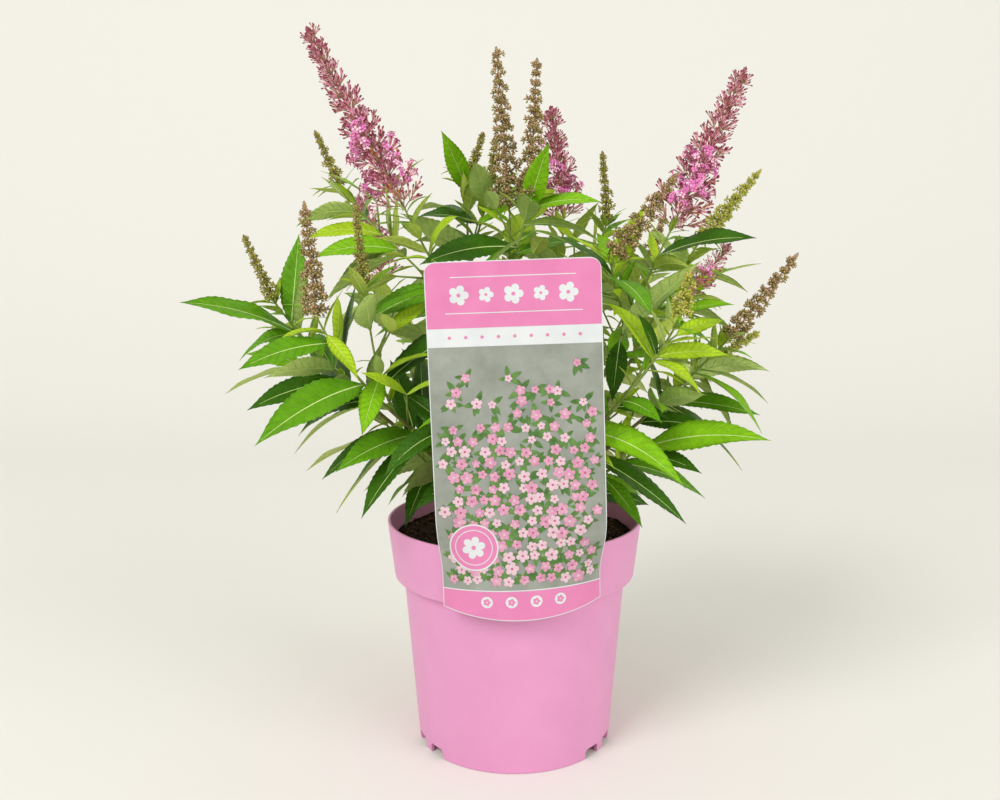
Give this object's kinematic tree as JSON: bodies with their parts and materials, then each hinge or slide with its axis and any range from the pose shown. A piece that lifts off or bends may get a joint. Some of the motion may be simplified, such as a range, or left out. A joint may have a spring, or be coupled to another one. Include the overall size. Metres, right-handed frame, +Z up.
{
  "type": "potted butterfly bush",
  "caption": "Butterfly bush in a round pink nursery pot: arching leafy shoots from a short woody foot, pointed pink and brown flower spikes, and a plain plant label hooked over the rim.",
  "frame": {"origin": "centre of the pot's flat underside", "axes": "+Z up; -Y is the front, where the plant label hangs; +X is to the right seen from the front"},
  "size_m": [0.418, 0.3112, 0.5181],
  "materials": {
    "pink_plastic": "satin",
    "dark_soil": "rough",
    "label_plastic": "gloss",
    "brown_wood": "rough",
    "green_stem": "satin",
    "foliage": "satin"
  },
  "bodies": {
    "root": {"pot": "pink_plastic", "soil": "dark_soil", "plant_label": "label_plastic", "woody_foot": "brown_wood", "left_high_bough": "green_stem", "left_front_bough": "green_stem", "left_low_bough": "green_stem", "centre_bough": "green_stem", "back_left_high_bough": "green_stem", "back_high_bough": "green_stem", "right_high_bough": "green_stem", "right_back_bough": "green_stem", "right_front_bough": "green_stem", "right_low_bough": "green_stem", "back_right_bough": "green_stem", "back_middle_bough": "green_stem", "back_left_bough": "green_stem", "low_left_bough": "green_stem", "low_right_bough": "green_stem", "low_front_left_bough": "green_stem", "low_front_right_bough": "green_stem", "low_back_left_bough": "green_stem", "low_back_right_bough": "green_stem", "left_high": "foliage", "left_front": "foliage", "left_low": "foliage", "centre": "foliage", "back_left_high": "foliage", "back_high": "foliage", "right_high": "foliage", "right_back": "foliage", "right_front": "foliage", "right_low": "foliage", "back_right": "foliage", "back_middle": "foliage", "back_left": "foliage", "low_left": "foliage", "low_right": "foliage", "low_front_left": "foliage", "low_front_right": "foliage", "low_back_left": "foliage", "low_back_right": "foliage"}
  },
  "joints": []
}
